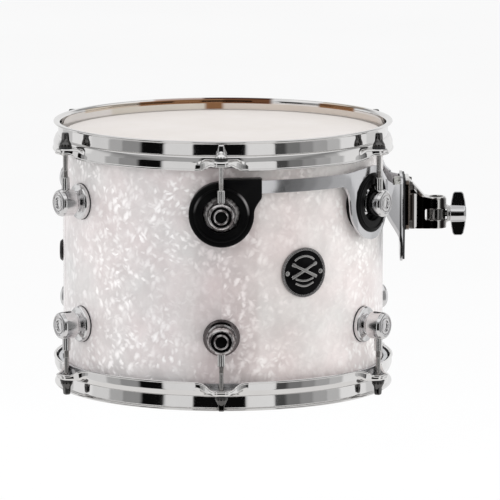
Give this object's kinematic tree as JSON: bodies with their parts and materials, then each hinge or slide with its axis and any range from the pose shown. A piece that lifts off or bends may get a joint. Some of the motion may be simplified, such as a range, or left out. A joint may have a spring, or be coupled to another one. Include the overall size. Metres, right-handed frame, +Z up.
{
  "type": "rack tom drum",
  "caption": "Cylindrical rack tom with triple-flanged plated hoops, turret lugs, coated batter head, pearl covering and a lug-hung suspension mount with a side rod clamp.",
  "frame": {"origin": "centre of the batter head's playing surface, on the drum's axis", "axes": "+Z up out of the batter head along the drum's axis; +X out through the rod clamp; -Y towards the player-side lug the badge is next to"},
  "size_m": [0.392, 0.3546, 0.2512],
  "materials": {
    "shell_wood": "satin lacquered ply",
    "pearl_wrap": "high gloss white marine pearl covering",
    "vent_plastic": "semi-gloss black",
    "badge_enamel": "gloss black enamel with plated rim",
    "coated_film": "fine sprayed white coating",
    "hazy_film": "clear thin film, slightly hazy",
    "flesh_aluminium": "satin",
    "hoop_chrome": "mirror plated pressed steel",
    "lug_chrome": "mirror plated casting",
    "rod_chrome": "plated",
    "plate_chrome": "plated steel plate, slightly brushed",
    "bracket_chrome": "plated casting",
    "wing_nut_chrome": "plated casting",
    "plated_steel": "bright plated",
    "zinc_steel": "zinc plated",
    "nylon": "black nylon",
    "pad_rubber": "smooth black",
    "gasket_rubber": "matt black"
  },
  "bodies": {
    "drum_body": {"shell_ply": "shell_wood", "shell_wrap": "pearl_wrap", "vent_grommet": "vent_plastic", "badge_plate": "badge_enamel", "badge_pins": "plated_steel", "batter_film": "coated_film", "resonant_film": "hazy_film", "batter_flesh_hoop": "flesh_aluminium", "resonant_flesh_hoop": "flesh_aluminium", "lug_housings_batter": "lug_chrome", "lug_housings_resonant": "lug_chrome", "receiver_nuts_batter": "plated_steel", "receiver_nuts_resonant": "plated_steel", "lug_gaskets": "gasket_rubber", "lug_screws": "zinc_steel", "lug_screw_washers": "zinc_steel", "suspension_plate": "plate_chrome", "outer_isolation_pads": "pad_rubber", "inner_isolation_pads": "pad_rubber", "bracket_gasket": "gasket_rubber", "bracket_body": "bracket_chrome", "bracket_bolts": "zinc_steel", "bracket_washers": "zinc_steel", "bracket_nuts": "zinc_steel", "wing_nut_washer": "plated_steel"},
    "batter_hoop_set": {"batter_hoop": "hoop_chrome", "nylon_washers_batter": "nylon", "steel_washers_batter": "plated_steel"},
    "resonant_hoop_set": {"resonant_hoop": "hoop_chrome", "nylon_washers_resonant": "nylon", "steel_washers_resonant": "plated_steel"},
    "clamp_eyebolt": {"clamp_eyebolt": "plated_steel"},
    "wing_nut": {"wing_nut": "wing_nut_chrome"},
    "batter_rod_1": {"tension_rod_batter_1": "rod_chrome"},
    "batter_rod_2": {"tension_rod_batter_2": "rod_chrome"},
    "batter_rod_3": {"tension_rod_batter_3": "rod_chrome"},
    "batter_rod_4": {"tension_rod_batter_4": "rod_chrome"},
    "batter_rod_5": {"tension_rod_batter_5": "rod_chrome"},
    "batter_rod_6": {"tension_rod_batter_6": "rod_chrome"},
    "resonant_rod_1": {"tension_rod_resonant_1": "rod_chrome"},
    "resonant_rod_2": {"tension_rod_resonant_2": "rod_chrome"},
    "resonant_rod_3": {"tension_rod_resonant_3": "rod_chrome"},
    "resonant_rod_4": {"tension_rod_resonant_4": "rod_chrome"},
    "resonant_rod_5": {"tension_rod_resonant_5": "rod_chrome"},
    "resonant_rod_6": {"tension_rod_resonant_6": "rod_chrome"}
  },
  "joints": [
    {"name": "batter_hoop_slide", "type": "slide", "parent": "drum_body", "child": "batter_hoop_set", "axis": [0, 0, 1], "range_m": [0, 0.012]},
    {"name": "batter_rod_1_turn", "type": "hinge", "parent": "batter_hoop_set", "child": "batter_rod_1", "pos_m": [0, -0.1685, 0], "axis": [0, 0, 1], "range_deg": [0, 5400]},
    {"name": "batter_rod_2_turn", "type": "hinge", "parent": "batter_hoop_set", "child": "batter_rod_2", "pos_m": [0.14593, -0.08425, 0], "axis": [0, 0, 1], "range_deg": [0, 5400]},
    {"name": "batter_rod_3_turn", "type": "hinge", "parent": "batter_hoop_set", "child": "batter_rod_3", "pos_m": [0.14593, 0.08425, 0], "axis": [0, 0, 1], "range_deg": [0, 5400]},
    {"name": "batter_rod_4_turn", "type": "hinge", "parent": "batter_hoop_set", "child": "batter_rod_4", "pos_m": [0, 0.1685, 0], "axis": [0, 0, 1], "range_deg": [0, 5400]},
    {"name": "batter_rod_5_turn", "type": "hinge", "parent": "batter_hoop_set", "child": "batter_rod_5", "pos_m": [-0.14593, 0.08425, 0], "axis": [0, 0, 1], "range_deg": [0, 5400]},
    {"name": "batter_rod_6_turn", "type": "hinge", "parent": "batter_hoop_set", "child": "batter_rod_6", "pos_m": [-0.14593, -0.08425, 0], "axis": [0, 0, 1], "range_deg": [0, 5400]},
    {"name": "resonant_hoop_slide", "type": "slide", "parent": "drum_body", "child": "resonant_hoop_set", "axis": [0, 0, -1], "range_m": [0, 0.012]},
    {"name": "resonant_rod_1_turn", "type": "hinge", "parent": "resonant_hoop_set", "child": "resonant_rod_1", "pos_m": [0, -0.1685, -0.22922], "axis": [0, 0, -1], "range_deg": [0, 5400]},
    {"name": "resonant_rod_2_turn", "type": "hinge", "parent": "resonant_hoop_set", "child": "resonant_rod_2", "pos_m": [0.14593, -0.08425, -0.22922], "axis": [0, 0, -1], "range_deg": [0, 5400]},
    {"name": "resonant_rod_3_turn", "type": "hinge", "parent": "resonant_hoop_set", "child": "resonant_rod_3", "pos_m": [0.14593, 0.08425, -0.22922], "axis": [0, 0, -1], "range_deg": [0, 5400]},
    {"name": "resonant_rod_4_turn", "type": "hinge", "parent": "resonant_hoop_set", "child": "resonant_rod_4", "pos_m": [0, 0.1685, -0.22922], "axis": [0, 0, -1], "range_deg": [0, 5400]},
    {"name": "resonant_rod_5_turn", "type": "hinge", "parent": "resonant_hoop_set", "child": "resonant_rod_5", "pos_m": [-0.14593, 0.08425, -0.22922], "axis": [0, 0, -1], "range_deg": [0, 5400]},
    {"name": "resonant_rod_6_turn", "type": "hinge", "parent": "resonant_hoop_set", "child": "resonant_rod_6", "pos_m": [-0.14593, -0.08425, -0.22922], "axis": [0, 0, -1], "range_deg": [0, 5400]},
    {"name": "wing_nut_turn", "type": "hinge", "parent": "drum_body", "child": "wing_nut", "pos_m": [0.221, 0, -0.07911], "axis": [1, 0, 0], "range_deg": [-126.5, 234.5]},
    {"name": "clamp_eyebolt_slide", "type": "slide", "parent": "drum_body", "child": "clamp_eyebolt", "axis": [1, 0, 0], "range_m": [-0.00065, 0.00035]}
  ],
  "couplings": [
    {"joint": "batter_rod_1_turn", "follows": "batter_hoop_slide", "rad_per_m": 7854},
    {"joint": "batter_rod_2_turn", "follows": "batter_hoop_slide", "rad_per_m": 7854},
    {"joint": "batter_rod_3_turn", "follows": "batter_hoop_slide", "rad_per_m": 7854},
    {"joint": "batter_rod_4_turn", "follows": "batter_hoop_slide", "rad_per_m": 7854},
    {"joint": "batter_rod_5_turn", "follows": "batter_hoop_slide", "rad_per_m": 7854},
    {"joint": "batter_rod_6_turn", "follows": "batter_hoop_slide", "rad_per_m": 7854},
    {"joint": "resonant_rod_1_turn", "follows": "resonant_hoop_slide", "rad_per_m": 7854},
    {"joint": "resonant_rod_2_turn", "follows": "resonant_hoop_slide", "rad_per_m": 7854},
    {"joint": "resonant_rod_3_turn", "follows": "resonant_hoop_slide", "rad_per_m": 7854},
    {"joint": "resonant_rod_4_turn", "follows": "resonant_hoop_slide", "rad_per_m": 7854},
    {"joint": "resonant_rod_5_turn", "follows": "resonant_hoop_slide", "rad_per_m": 7854},
    {"joint": "resonant_rod_6_turn", "follows": "resonant_hoop_slide", "rad_per_m": 7854},
    {"joint": "wing_nut_turn", "follows": "clamp_eyebolt_slide", "rad_per_m": -6283.2}
  ]
}
